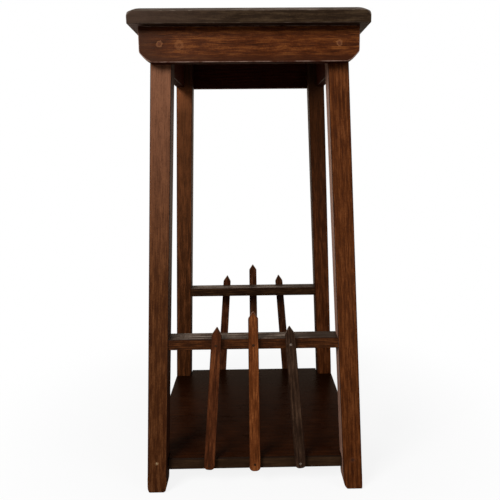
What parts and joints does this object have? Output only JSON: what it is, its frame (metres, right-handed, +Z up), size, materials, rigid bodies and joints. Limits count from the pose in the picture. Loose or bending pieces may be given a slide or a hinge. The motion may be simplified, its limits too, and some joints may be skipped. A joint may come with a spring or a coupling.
{
  "type": "plant table",
  "caption": "Tall narrow wooden plant table with splayed square legs, nailed aprons, a low shelf notched round the legs and fanned pointed pickets at front and back.",
  "frame": {"origin": "centre of the four feet on the floor", "axes": "+Z up, -Y towards the front that the picture shows, +X to the right as seen from the front"},
  "size_m": [0.3378, 0.3482, 0.711],
  "materials": {
    "top": "dark stained board, satin varnish",
    "apron": "red-brown stained board, satin varnish",
    "side_apron": "brown stained board, satin varnish",
    "leg": "brown stained square bar, satin varnish",
    "shelf": "dark stained board, satin varnish",
    "stretcher": "brown stained lath, satin varnish",
    "picket": "brown stained lath, satin varnish",
    "nail": "dull steel wire nail"
  },
  "bodies": {
    "root": {"top_board": "top", "front_apron": "apron", "back_apron": "apron", "left_apron": "side_apron", "right_apron": "side_apron", "front_left_leg": "leg", "front_right_leg": "leg", "back_left_leg": "leg", "back_right_leg": "leg", "shelf": "shelf", "front_stretcher": "stretcher", "back_stretcher": "stretcher", "front_left_picket": "picket", "front_centre_picket": "picket", "front_right_picket": "picket", "back_left_picket": "picket", "back_centre_picket": "picket", "back_right_picket": "picket", "top_nails": "nail", "apron_nails": "nail", "shelf_nails": "nail", "picket_nails": "nail"}
  },
  "joints": []
}
